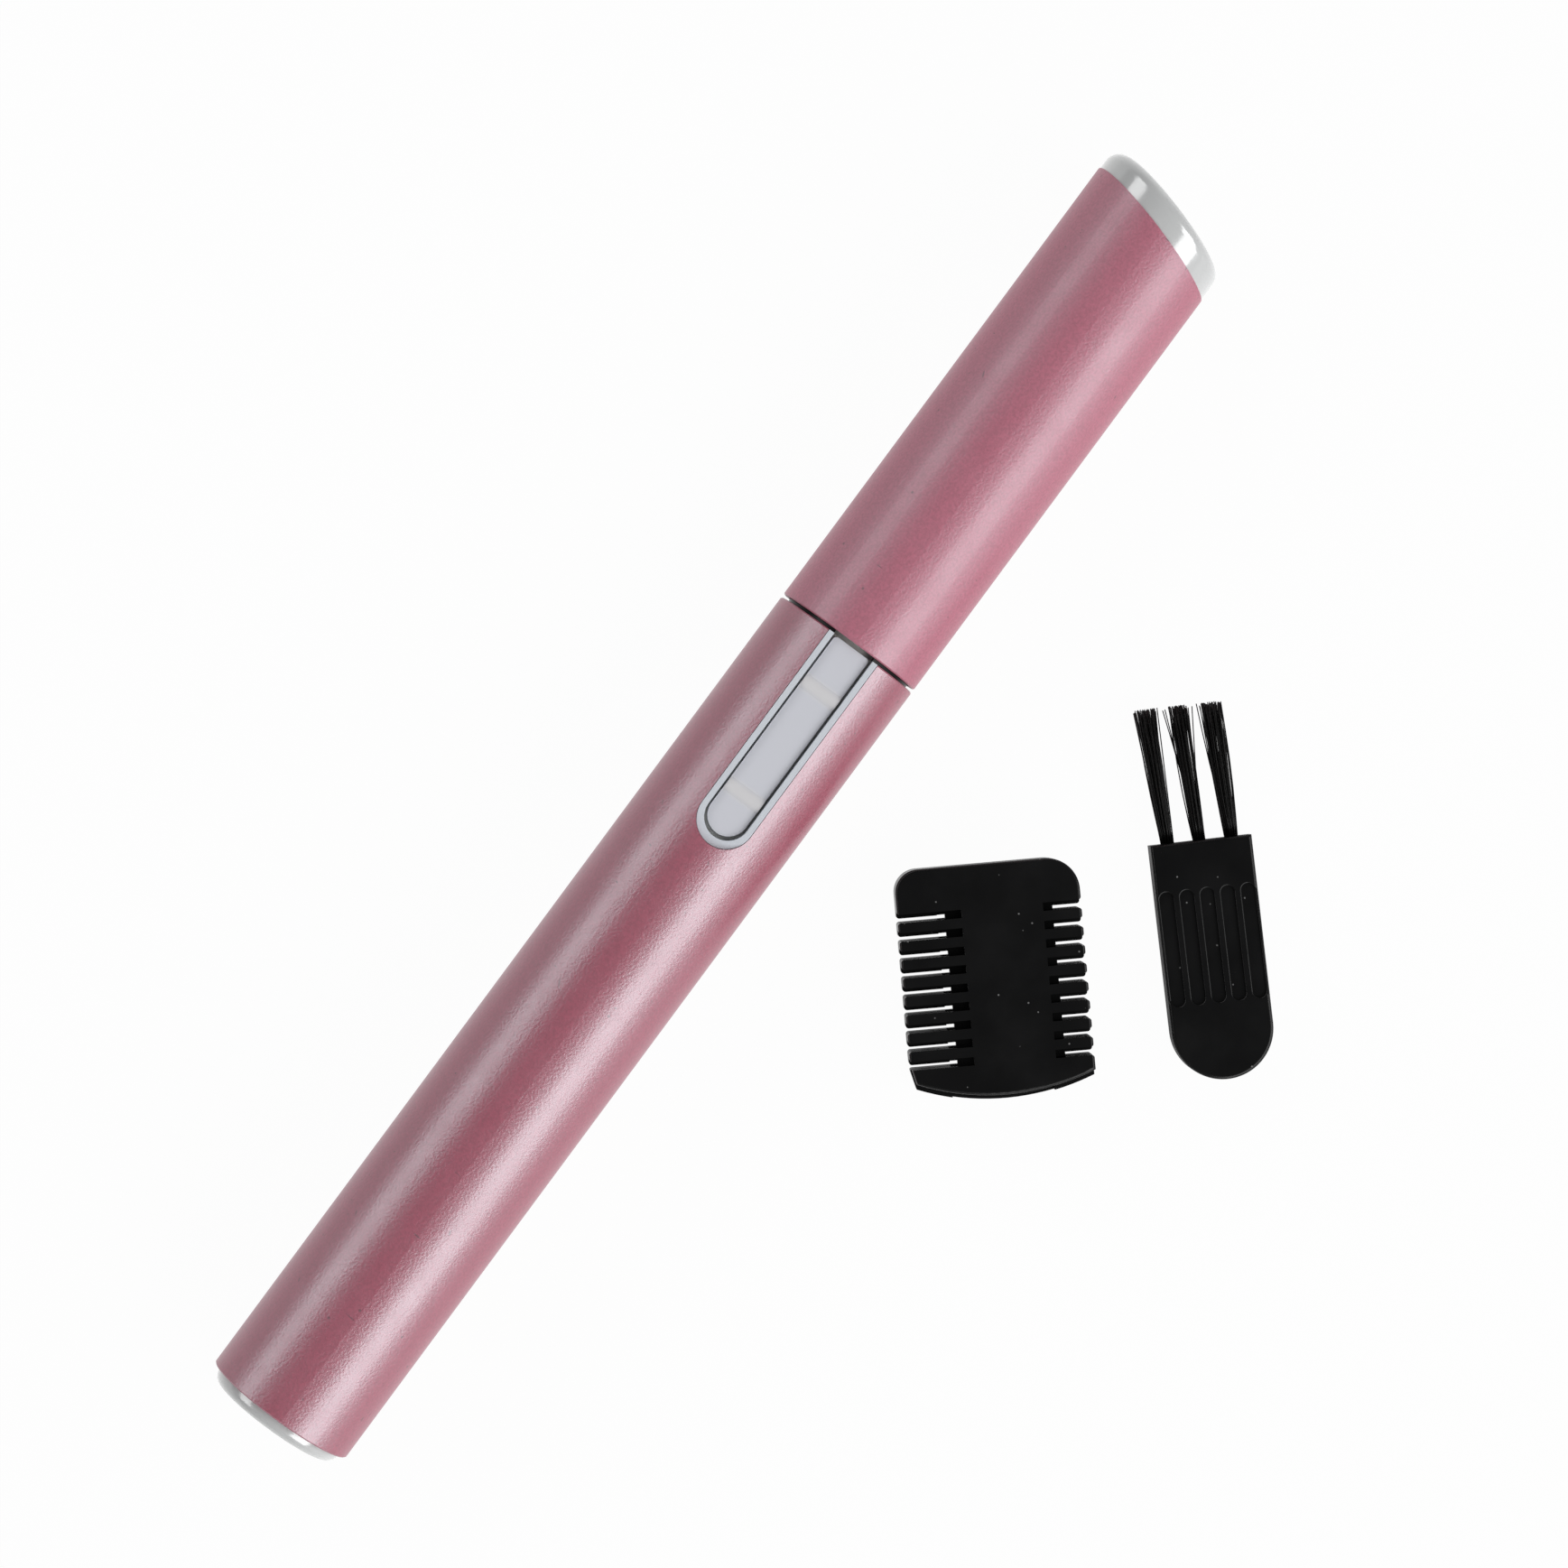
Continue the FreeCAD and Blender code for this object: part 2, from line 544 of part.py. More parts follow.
def motor_terminal():
    """The pin from the positive contact through the bulkhead to the motor."""
    return rod(TERMINAL_RADIUS, CELL_BAY_END, MOTOR_START)


def motor_shaft():
    """The motor's shaft, which carries the cam."""
    return rod(SHAFT_RADIUS, MOTOR_CAN_START + SHAFT_RUNNING_FIT, CAM_END + SHAFT_TIP)


def drive_cam():
    """The drum cam: one turn of its tilted groove moves the cutter there and back."""
    drum = rod(CAM_RADIUS, CAM_START, CAM_END).cut(rod(SHAFT_RADIUS, CAM_START, CAM_END))
    slab = block(
        (-GROOVE_WIDTH / 2, GROOVE_WIDTH / 2),
        (-2 * CAM_RADIUS, 2 * CAM_RADIUS),
        (-2 * CAM_RADIUS, 2 * CAM_RADIUS),
    )
    slab.rotate(Vector(), UP, GROOVE_TILT)
    slab.translate(Vector(CAM_MIDDLE, 0, 0))
    return drum.cut(slab.cut(rod(CAM_CORE, CAM_START, CAM_END)))


def neck_collar():
    """The black ring on the chassis's spigot that the cap pushes onto."""
    ring = rod(COLLAR_RADIUS, BARREL_LENGTH, COLLAR_END)
    bead_start = COLLAR_END - COLLAR_BEAD_INSET - COLLAR_BEAD_WIDTH
    bead = rod(TUBE_BORE - COLLAR_BEAD_FIT, bead_start, bead_start + COLLAR_BEAD_WIDTH)
    ring = ring.fuse(bead).cut(rod(SPIGOT_RADIUS, BARREL_LENGTH, COLLAR_INSIDE))
    window = block(
        (COLLAR_INSIDE, COLLAR_END),
        (-NECK_HALF_WIDTH - NECK_FIT, NECK_HALF_WIDTH + NECK_FIT),
        (-NECK_HALF_HEIGHT - NECK_FIT, NECK_HALF_HEIGHT + NECK_FIT),
    )
    switch_notch = bar(
        BARREL_LENGTH,
        PLATE_HEAD + SWITCH_TRAVEL + PLATE_SIDE_GAP,
        PLATE_HALF_WIDTH + PLATE_SIDE_GAP,
        0,
        TUBE_RADIUS,
    )
    return ring.cut([window, switch_notch])


# ---------------------------------------------------------------- head under the cap
def blade_screws():
    """The two screws that hold the fixed blade."""
    x = BLADE_ROOT + BLADE_SCREW_INSET
    screws = []
    for y in (-BLADE_SCREW_SPREAD, BLADE_SCREW_SPREAD):
        head = post(BLADE_SCREW_HEAD, x, y, BLADE_TOP, BLADE_TOP + BLADE_SCREW_HEAD_HEIGHT)
        shank = post(BLADE_SCREW_RADIUS, x, y, BLADE_TOP - BLADE_SCREW_LENGTH, BLADE_TOP)
        screws.append(head.fuse(shank))
    return Part.makeCompound(screws)


def head_frame():
    """The black moulding in front of the collar: flange, neck and the backing under the blades."""
    profile = [
        (COLLAR_INSIDE, -NECK_HALF_HEIGHT),
        (NECK_END - NECK_BOTTOM_SLOPE, -NECK_HALF_HEIGHT),
        (NECK_END, BACKING_BOTTOM),
        (NECK_END, BLADE_LEVEL),
        (NECK_TOP_END + NECK_TOP_SLOPE, BLADE_LEVEL),
        (NECK_TOP_END, NECK_HALF_HEIGHT),
        (COLLAR_INSIDE, NECK_HALF_HEIGHT),
    ]
    outline = Part.makePolygon([Vector(x, -NECK_HALF_WIDTH, z) for x, z in profile + profile[:1]])
    neck = Part.Face(outline).extrude(Vector(0, 2 * NECK_HALF_WIDTH, 0))
    flange = rod(SPIGOT_RADIUS, SPIGOT_END, COLLAR_INSIDE)
    backing = bar(NECK_END, BLADE_TIP, BACKING_HALF_WIDTH, BACKING_BOTTOM, BACKING_TOP)
    tip = bar(BLADE_TIP - BACKING_TIP, BLADE_TIP, BACKING_HALF_WIDTH, BACKING_BOTTOM, BLADE_LEVEL)
    body = neck.common(rod(SPIGOT_RADIUS, COLLAR_INSIDE, NECK_END)).fuse([flange, backing, tip])
    yoke_way = bar(
        SPIGOT_END, YOKE_END + STROKE, CHANNEL_HALF_WIDTH, CHANNEL_FLOOR, BLADE_LEVEL
    )
    tongue_way = bar(YOKE_END, NECK_END, CHANNEL_HALF_WIDTH, BACKING_TOP, BLADE_LEVEL)
    cam_way = rod(CAM_BAY_RADIUS, SPIGOT_END, COLLAR_INSIDE)
    return body.cut([yoke_way, tongue_way, cam_way] + blade_screws().Solids).removeSplitter()


def tooth_slots(half_width, low, high):
    """The slots between the teeth along both sides of a blade of this half width."""
    slots = []
    for index in range(BLADE_TOOTH_COUNT):
        start = NECK_END + BLADE_TOOTH_START + index * BLADE_TOOTH_PITCH
        for side in (-1, 1):
            inner = side * (half_width - BLADE_SLOT_DEPTH)
            outer = side * 2 * half_width
            across = (min(inner, outer), max(inner, outer))
            slots.append(block((start, start + BLADE_SLOT_WIDTH), across, (low, high)))
    return slots


def fixed_blade():
    """The toothed steel plate on top of the head."""
    blade = bar(BLADE_ROOT, BLADE_TIP, BLADE_HALF_WIDTH, BLADE_LEVEL, BLADE_TOP)
    corners = corner_edges(blade, BLADE_TIP, (-BLADE_HALF_WIDTH, BLADE_HALF_WIDTH))
    blade = blade.makeFillet(BLADE_TIP_CORNER, corners)
    slots = tooth_slots(BLADE_HALF_WIDTH, BLADE_LEVEL, BLADE_TOP)
    return blade.cut(slots + blade_screws().Solids)


def cutter_blade():
    """The toothed steel plate that slides to and fro under the fixed blade."""
    half_width = BLADE_HALF_WIDTH - CUTTER_SIDE_INSET
    blade = bar(CUTTER_ROOT, CUTTER_TIP, half_width, CUTTER_BOTTOM, CUTTER_TOP)
    blade = blade.fuse(bar(TONGUE_START, CUTTER_ROOT, TONGUE_HALF_WIDTH, CUTTER_BOTTOM, CUTTER_TOP))
    return blade.cut(tooth_slots(half_width, CUTTER_BOTTOM, CUTTER_TOP)).removeSplitter()


def cutter_yoke():
    """The slide that the cam's groove drives through a pin, and that carries the cutter."""
    plate = bar(YOKE_START, YOKE_END, YOKE_HALF_WIDTH, YOKE_BOTTOM, YOKE_TOP)
    riser = bar(TONGUE_START, YOKE_END, YOKE_HALF_WIDTH, YOKE_BOTTOM, CUTTER_BOTTOM)
    pin = post(FOLLOWER_RADIUS, CAM_MIDDLE, 0, YOKE_TOP, -CAM_CORE - FOLLOWER_TIP_GAP)
    return plate.fuse([riser, pin]).removeSplitter()


# ---------------------------------------------------------------- switch
def switch_bezel():
    """The grey U-shaped frame around the switch."""
    frame = tongue(BEZEL_TAIL, BARREL_LENGTH, BEZEL_HALF_WIDTH, BEZEL_FLOOR, BEZEL_TOP)
    window = tongue(
        PLATE_TAIL - PLATE_TAIL_GAP,
        BARREL_LENGTH,
        PLATE_HALF_WIDTH + PLATE_SIDE_GAP,
        BEZEL_FLOOR,
        BEZEL_TOP,
    )
    return frame.cut(window)


def rib(x):
    """A low round-topped rib across the plate."""
    radius = (RIB_WIDTH**2 / 4 + RIB_HEIGHT**2) / (2 * RIB_HEIGHT)
    centre = Vector(x, -PLATE_HALF_WIDTH, PLATE_TOP + RIB_HEIGHT - radius)
    ridge = Part.makeCylinder(radius, 2 * PLATE_HALF_WIDTH, centre, ACROSS)
    return ridge.common(
        bar(x - RIB_WIDTH, x + RIB_WIDTH, PLATE_HALF_WIDTH, PLATE_TOP, BEZEL_TOP + RIB_HEIGHT)
    )


def switch_plate():
    """The sliding plate that the thumb pushes, with two low ribs."""
    plate = tongue(PLATE_TAIL, PLATE_HEAD, PLATE_HALF_WIDTH, PLATE_BOTTOM, PLATE_TOP)
    corners = corner_edges(plate, PLATE_HEAD, (-PLATE_HALF_WIDTH, PLATE_HALF_WIDTH))
    plate = plate.makeFillet(PLATE_HEAD_CORNER, corners)
    ribs = [rib(PLATE_TAIL + RIB_TAIL_INSET), rib(PLATE_HEAD - RIB_HEAD_INSET)]
    return plate.fuse(ribs).removeSplitter()


def switch_carrier():
    """The black block under the plate that carries the sliding contact."""
    return bar(CARRIER_START, CARRIER_END, CARRIER_HALF_WIDTH, CARRIER_BOTTOM, PLATE_BOTTOM)


def slider_contact():
    """The brass bridge that joins the two pads when the switch is on."""
    return bar(SLIDER_START, SLIDER_END, SLIDER_HALF_WIDTH, SLIDER_BOTTOM, CARRIER_BOTTOM)


# ---------------------------------------------------------------- cap
def cap_shell():
    """The tube of the cap, cut off at a slant."""
    tube = rod(TUBE_RADIUS, CAP_START, CAP_FAR_END)
    tube = tube.makeChamfer(RIM_CHAMFER, edges_in(tube, "X", CAP_START))
    return tube.cut([rod(TUBE_BORE, CAP_START, CAP_FAR_END), beyond_slant(0)])


def cap_plug():
    """The bright plug in the cap's slanted end."""
    radius = TUBE_RADIUS - PLUG_REVEAL
    face_centre = Vector(CAP_END, 0, 0) + CAP_NORMAL * CAP_PLUG_STANDOUT
    face_ball = crown_ball(face_centre, CAP_NORMAL, radius)
    head = rod(radius, LINER_END, CAP_FAR_END).common(beyond_slant(0)).common(face_ball)
    face = max(head.Faces, key=lambda each: each.CenterOfMass.x)
    head = head.makeFillet(CAP_PLUG_EDGE, face.Edges)
    spigot = rod(TUBE_BORE, LINER_END, CAP_FAR_END)
    hollow = rod(TUBE_BORE - PLUG_WALL, LINER_END, CAP_FAR_END)
    return head.fuse(spigot.cut([hollow, beyond_slant(0)])).removeSplitter()


def cap_liner():
    """The sleeve inside the cap whose end stops against the collar."""
    return rod(TUBE_BORE, LINER_START, LINER_END).cut(rod(LINER_RADIUS, LINER_START, LINER_END))


# ---------------------------------------------------------------- comb
def lay_down(shape, x, y, turn):
    """Puts a piece made on z = 0 in its own frame onto the table."""
    shape.rotate(Vector(), UP, turn)
    shape.translate(Vector(x, y, FLOOR_LEVEL))
    return shape


def comb_wall(low, high, set_back):
    """One level of the comb: rounded closed end, bulged open end with its left corner bevelled."""
    left = -COMB_WIDTH / 2
    right = COMB_WIDTH / 2
    closed_end = COMB_SIDE_LENGTH / 2
    open_end = set_back - closed_end
    right_corner = Vector(right, open_end, low)
    left_corner = Vector(left + COMB_BEVEL_WIDTH, open_end, low)
    apex = Vector(0, open_end - COMB_BULGE, low)
    sides = Part.makePolygon(
        [
            right_corner,
            Vector(right, closed_end, low),
            Vector(left, closed_end, low),
            Vector(left, open_end + COMB_BEVEL_LENGTH, low),
            left_corner,
        ]
    )
    bulge = Part.Arc(left_corner, apex, right_corner).toShape()
    wall = Part.Face(Part.Wire(sides.Edges + [bulge])).extrude(Vector(0, 0, high - low))
    for corner_x, radius in ((left, COMB_CORNER_LEFT), (right, COMB_CORNER_RIGHT)):
        wall = wall.makeFillet(radius, corner_edges(wall, corner_x, (closed_end,)))
    return wall


def comb_slot(side, depth, near, far, low, high):
    """A slot cut in from one side, with a flared mouth that rounds the tips of the teeth beside it."""
    mouth = side * COMB_WIDTH / 2
    throat = mouth - side * COMB_TOOTH_TIP
    floor = mouth - side * depth
    bend = COMB_TOOTH_TIP * (1 - math.sqrt(0.5))
    near_mouth = Vector(mouth, near - COMB_TOOTH_TIP, low)
    near_bend = Vector(mouth - side * bend, near - bend, low)
    near_throat = Vector(throat, near, low)
    far_mouth = Vector(mouth, far + COMB_TOOTH_TIP, low)
    far_bend = Vector(mouth - side * bend, far + bend, low)
    far_throat = Vector(throat, far, low)
    inside = Part.makePolygon(
        [near_throat, Vector(floor, near, low), Vector(floor, far, low), far_throat]
    )
    outside = Part.makePolygon(
        [
            far_mouth,
            Vector(2 * mouth, far_mouth.y, low),
            Vector(2 * mouth, near_mouth.y, low),
            near_mouth,
        ]
    )
    arcs = [
        Part.Arc(near_mouth, near_bend, near_throat).toShape(),
        Part.Arc(far_throat, far_bend, far_mouth).toShape(),
    ]
    outline = Part.Wire(Part.__sortEdges__(inside.Edges + outside.Edges + arcs))
    return Part.Face(outline).extrude(Vector(0, 0, high - low))


def comb_slots():
    """The slots of both sides, which are wider and deeper through the top wall."""
    middle = COMB_THICKNESS / 2
    first = COMB_SIDE_LENGTH / 2 - COMB_FIRST_SLOT
    slots = []
    for index in range(COMB_SLOT_COUNT):
        far = first - index * COMB_SLOT_PITCH
        near = far - COMB_SLOT_WIDTH_TOP
        slots.append(comb_slot(-1, COMB_LEFT_DEPTH_TOP, near, far, middle, COMB_THICKNESS))
        slots.append(comb_slot(1, COMB_RIGHT_DEPTH_TOP, near, far, middle, COMB_THICKNESS))
        far -= COMB_SLOT_SHIFT
        near = far - COMB_SLOT_WIDTH_BOTTOM
        slots.append(comb_slot(-1, COMB_LEFT_DEPTH_BOTTOM, near, far, 0, middle))
        slots.append(comb_slot(1, COMB_RIGHT_DEPTH_BOTTOM, near, far, 0, middle))
    return slots


def comb():
    """The two-sided comb that pushes over the blades, with a pocket open at its bulged end."""
    middle = COMB_THICKNESS / 2
    top = comb_wall(middle, COMB_THICKNESS, COMB_LIP)
    top = top.makeFillet(COMB_EDGE, edges_in(top, "Z", COMB_THICKNESS))
    bottom = comb_wall(0, middle, 0)
    bottom = bottom.makeFillet(COMB_EDGE, edges_in(bottom, "Z", 0))
    pocket = block(
        (-COMB_POCKET_WIDTH / 2, COMB_POCKET_WIDTH / 2),
        (-COMB_SIDE_LENGTH, COMB_SIDE_LENGTH / 2 - COMB_POCKET_END_WALL),
        ((COMB_THICKNESS - COMB_POCKET_HEIGHT) / 2, (COMB_THICKNESS + COMB_POCKET_HEIGHT) / 2),
    )
    body = top.fuse(bottom).cut([pocket] + comb_slots())
    return lay_down(body, COMB_CENTRE_X, COMB_CENTRE_Y, COMB_TURN)


# ---------------------------------------------------------------- brush
def tuft_centres():
    """How far each tuft stands across from the handle's middle line."""
    first = -(TUFT_COUNT - 1) * TUFT_PITCH / 2
    return [first + index * TUFT_PITCH for index in range(TUFT_COUNT)]


def tuft_section(x, y, radius):
    """A tuft's outline at x in front of the handle's end."""
    return Part.Wire(Part.makeCircle(radius, Vector(x, y, BRUSH_THICKNESS / 2), ALONG))


def tuft_roots():
    """The straight roots of the tufts inside the handle."""
    return [
        Part.makeCylinder(
            TUFT_BASE_RADIUS, TUFT_ROOT, Vector(-TUFT_ROOT, y, BRUSH_THICKNESS / 2), ALONG
        )
        for y in tuft_centres()
    ]


def brush_grooves():
    """The long grip grooves on both faces of the handle."""
    first = -(BRUSH_GROOVE_COUNT - 1) * BRUSH_GROOVE_PITCH / 2
    head = -BRUSH_GROOVE_INSET
    tail = head - BRUSH_GROOVE_LENGTH
    radius = BRUSH_GROOVE_WIDTH / 2
    grooves = []
    for index in range(BRUSH_GROOVE_COUNT):
        y = first + index * BRUSH_GROOVE_PITCH
        for low in (0, BRUSH_THICKNESS - BRUSH_GROOVE_DEPTH):
            high = low + BRUSH_GROOVE_DEPTH
            middle = block((tail + radius, head - radius), (y - radius, y + radius), (low, high))
            ends = [post(radius, x, y, low, high) for x in (tail + radius, head - radius)]
            grooves.append(middle.fuse(ends).removeSplitter())
    return grooves


def groove_rims(handle):
    """The edges of the grooves in both faces of the handle."""
    head = NEAR - BRUSH_GROOVE_INSET
    tail = -NEAR - BRUSH_GROOVE_INSET - BRUSH_GROOVE_LENGTH
    rims = []
    for level in (0, BRUSH_THICKNESS):
        for edge in edges_in(handle, "Z", level):
            if edge.BoundBox.XMin > tail and edge.BoundBox.XMax < head:
                rims.append(edge)
    return rims


def brush_handle():
    """The flat handle: half round at the back, square where the tufts stand."""
    handle = tongue(-BRUSH_LENGTH, 0, BRUSH_WIDTH / 2, 0, BRUSH_THICKNESS)
    rims = edges_in(handle, "Z", 0) + edges_in(handle, "Z", BRUSH_THICKNESS)
    handle = handle.makeFillet(BRUSH_EDGE, rims).cut(brush_grooves())
    handle = handle.makeFillet(BRUSH_GROOVE_EDGE, groove_rims(handle))
    return lay_down(handle.cut(tuft_roots()), BRUSH_END_X, BRUSH_END_Y, BRUSH_TURN)


def bristle_tufts():
    """The three tufts of bristles as solid bundles that widen to their tips and lean a little."""
    lean = TUFT_LENGTH * math.tan(math.radians(TUFT_LEAN))
    tufts = []
    for y in tuft_centres():
        sections = [
            tuft_section(-TUFT_ROOT, y, TUFT_BASE_RADIUS),
            tuft_section(0, y, TUFT_BASE_RADIUS),
            tuft_section(TUFT_LENGTH, y + lean, TUFT_TIP_RADIUS),
        ]
        tufts.append(Part.makeLoft(sections, True, True))
    return lay_down(Part.makeCompound(tufts), BRUSH_END_X, BRUSH_END_Y, BRUSH_TURN)


PEN_PIECES = (
    barrel_shell,
    tail_plug,
    chassis_frame,
    motor_cover,
    cover_screws,
    negative_plate,
    negative_spring,
    cell_body,
    cell_button,
    positive_contact,
    power_strip,
    front_pad,
    motor_bell,
    motor_can,
    motor_terminal,
    motor_shaft,
    drive_cam,
    neck_collar,
    head_frame,
    fixed_blade,
    blade_screws,
    cutter_blade,
    cutter_yoke,
    switch_bezel,
    switch_plate,
    switch_carrier,
    slider_contact,
    cap_shell,
    cap_plug,
    cap_liner,
)
LOOSE_PIECES = (
    comb,
    brush_handle,
    bristle_tufts,
)

os.makedirs("parts", exist_ok=True)
for piece in PEN_PIECES:
    shape = piece()
    shape.rotate(Vector(), ALONG, PEN_ROLL)
    shape.exportStep(f"parts/{piece.__name__}.step")
for piece in LOOSE_PIECES:
    piece().exportStep(f"parts/{piece.__name__}.step")
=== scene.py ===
"""Looks of the pen trimmer with its comb and brush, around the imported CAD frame. Metres."""
import json
import math
import random

import bmesh
import bpy
from mathutils import Matrix, Vector


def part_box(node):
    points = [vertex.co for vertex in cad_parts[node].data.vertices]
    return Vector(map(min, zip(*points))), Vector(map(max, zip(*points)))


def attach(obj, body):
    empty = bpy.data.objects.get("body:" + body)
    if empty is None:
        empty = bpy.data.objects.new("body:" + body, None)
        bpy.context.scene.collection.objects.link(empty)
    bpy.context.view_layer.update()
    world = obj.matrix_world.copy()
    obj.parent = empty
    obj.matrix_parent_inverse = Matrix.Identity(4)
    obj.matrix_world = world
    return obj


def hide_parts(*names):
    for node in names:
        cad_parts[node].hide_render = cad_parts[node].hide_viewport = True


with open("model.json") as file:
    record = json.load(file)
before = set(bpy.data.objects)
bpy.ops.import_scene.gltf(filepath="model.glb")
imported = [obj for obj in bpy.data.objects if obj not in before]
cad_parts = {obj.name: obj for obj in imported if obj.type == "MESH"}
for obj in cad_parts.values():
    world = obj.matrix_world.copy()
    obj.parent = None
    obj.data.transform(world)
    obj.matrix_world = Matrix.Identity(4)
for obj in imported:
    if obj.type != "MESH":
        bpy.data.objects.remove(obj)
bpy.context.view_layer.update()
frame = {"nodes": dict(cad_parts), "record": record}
MM = 0.001

# ---------------------------------------------------------------- places read from the frame
FLOOR_CLEARANCE = 0.02 * MM  # keeps the floor clear of the faces that lie on it
FLOOR_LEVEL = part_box("barrel_shell")[0].z - FLOOR_CLEARANCE
PEN_MIDDLE = Vector((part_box("cap_plug")[1].x / 2, 0, 0))

# ---------------------------------------------------------------- colours, as sRGB in 0..1
PINK_BARREL = (0.610, 0.240, 0.327)
PINK_CAP = (0.670, 0.328, 0.412)
PLATE_GREY = (0.780, 0.785, 0.812)
BEZEL_GREY = (0.785, 0.803, 0.830)
# paler grey painted over the plate's two ribs, as a painted highlight
RIB_HIGHLIGHT_GREY = (0.803, 0.799, 0.806)
BLACK = (0.024, 0.024, 0.026)
DUST = (0.42, 0.42, 0.42)
NYLON = (0.035, 0.033, 0.031)
IVORY = (0.86, 0.86, 0.84)
STEEL = (0.74, 0.75, 0.76)
BRASS = (0.80, 0.66, 0.38)
CELL_BLUE = (0.20, 0.24, 0.33)
CHROME = (0.785, 0.790, 0.790)
PEARL_SHEEN = (0.84, 0.96, 1.0, 1.0)  # linear

# parts of a noise pattern's range that count as its full swing
WIDE_SWING = (0.3, 0.7)
HARD_SWING = (0.35, 0.65)
DARK_SWING = (0.35, 0.7)


def linear(colour):
    """An sRGB colour as the linear RGBA that a shader's socket takes."""
    channels = []
    for value in colour:
        channels.append(value / 12.92 if value <= 0.04045 else ((value + 0.055) / 1.055) ** 2.4)
    return (*channels, 1.0)


def scaled(colour, share):
    """A linear RGBA colour made brighter or darker, up to full brightness."""
    return (*(min(1.0, channel * share) for channel in colour[:3]), 1.0)


# ---------------------------------------------------------------- node helpers
def new_material(name):
    """A material with its node tree and its Principled shader."""
    material = bpy.data.materials.new(name)
    material.use_nodes = True
    tree = material.node_tree
    return material, tree, tree.nodes["Principled BSDF"]


def add(tree, kind, **settings):
    """A new node with attributes and socket values set by name."""
    node = tree.nodes.new(kind)
    for name, value in settings.items():
        if hasattr(node, name):
            setattr(node, name, value)
        else:
            node.inputs[name.replace("_", " ")].default_value = value
    return node


def calculate(tree, operation, first, second=None):
    """The result of a Math node on one or two values, each a number or a socket."""
    node = add(tree, "ShaderNodeMath", operation=operation)
    for socket, value in zip(node.inputs, (first, second)):
        if isinstance(value, bpy.types.NodeSocket):
            tree.links.new(value, socket)
        elif value is not None:
            socket.default_value = value
    return node.outputs[0]


def coordinates(tree, kind="Object"):
    """The X, Y and Z sockets of a point in its piece's own metres, or of a world's direction."""
    spot = add(tree, "ShaderNodeTexCoord")
    split = add(tree, "ShaderNodeSeparateXYZ")
    tree.links.new(spot.outputs[kind], split.inputs["Vector"])
    return split.outputs


def noise(tree, scale, detail=2.0, stretch=(1, 1, 1)):
    """A noise pattern in the piece's own metres, stretched along its axes."""
    spot = add(tree, "ShaderNodeTexCoord")
    mapping = add(tree, "ShaderNodeMapping")
    mapping.inputs["Scale"].default_value = stretch
    pattern = add(tree, "ShaderNodeTexNoise", Scale=scale, Detail=detail)
    tree.links.new(spot.outputs["Object"], mapping.inputs["Vector"])
    tree.links.new(mapping.outputs["Vector"], pattern.inputs["Vector"])
    return pattern.outputs["Fac"]


def remap(tree, value, low, high, to_low, to_high):
    """The value stretched from one range to another and held at its ends."""
    node = add(tree, "ShaderNodeMapRange")
    node.inputs["From Min"].default_value = low
    node.inputs["From Max"].default_value = high
    node.inputs["To Min"].default_value = to_low
    node.inputs["To Max"].default_value = to_high
    tree.links.new(value, node.inputs["Value"])
    return node.outputs["Result"]


def blend_colours(tree, factor, first, second):
    """Two colours mixed by a factor socket; each is a linear colour or a socket."""
    node = add(tree, "ShaderNodeMix", data_type="RGBA")
    tree.links.new(factor, node.inputs["Factor"])
    sockets = [each for each in node.inputs if each.type == "RGBA"]
    for socket, colour in zip(sockets, (first, second)):
        if isinstance(colour, bpy.types.NodeSocket):
            tree.links.new(colour, socket)
        else:
            socket.default_value = colour
    return [each for each in node.outputs if each.type == "RGBA"][0]


def mottle(tree, pattern, swing, first, second):
    """Two linear colours mixed by a noise pattern."""
    return blend_colours(tree, remap(tree, pattern, *swing, 0, 1), first, second)


def roughen(tree, shader, pattern, swing, low, high):
    """Lets a noise pattern move the shader's roughness between two levels."""
    tree.links.new(remap(tree, pattern, *swing, low, high), shader.inputs["Roughness"])


def bump(tree, shader, height, distance, strength):
    """Gives the shader a bump from a height pattern; distance is in metres."""
    node = add(tree, "ShaderNodeBump", Distance=distance, Strength=strength)
    tree.links.new(height, node.inputs["Height"])
    tree.links.new(node.outputs["Normal"], shader.inputs["Normal"])


def marks(tree, scale, reach, share, stretch=(1, 1, 1), turn=(0, 0, 0)):
    """Sparse small marks: 1 on a mark and 0 elsewhere. Share is the part of the cells with a mark.
    Stretch is how long a mark is along each of its turned axes."""
    spot = add(tree, "ShaderNodeTexCoord")
    mapping = add(tree, "ShaderNodeMapping", vector_type="TEXTURE")
    mapping.inputs["Scale"].default_value = stretch
    mapping.inputs["Rotation"].default_value = turn
    cells = add(tree, "ShaderNodeTexVoronoi", Scale=scale)
    tree.links.new(spot.outputs["Object"], mapping.inputs["Vector"])
    tree.links.new(mapping.outputs["Vector"], cells.inputs["Vector"])
    near = remap(tree, cells.outputs["Distance"], reach * 0.6, reach, 1, 0)
    draw = add(tree, "ShaderNodeSeparateColor")
    tree.links.new(cells.outputs["Color"], draw.inputs["Color"])
    chosen = calculate(tree, "LESS_THAN", draw.outputs["Red"], share)
    return calculate(tree, "MULTIPLY", near, chosen)


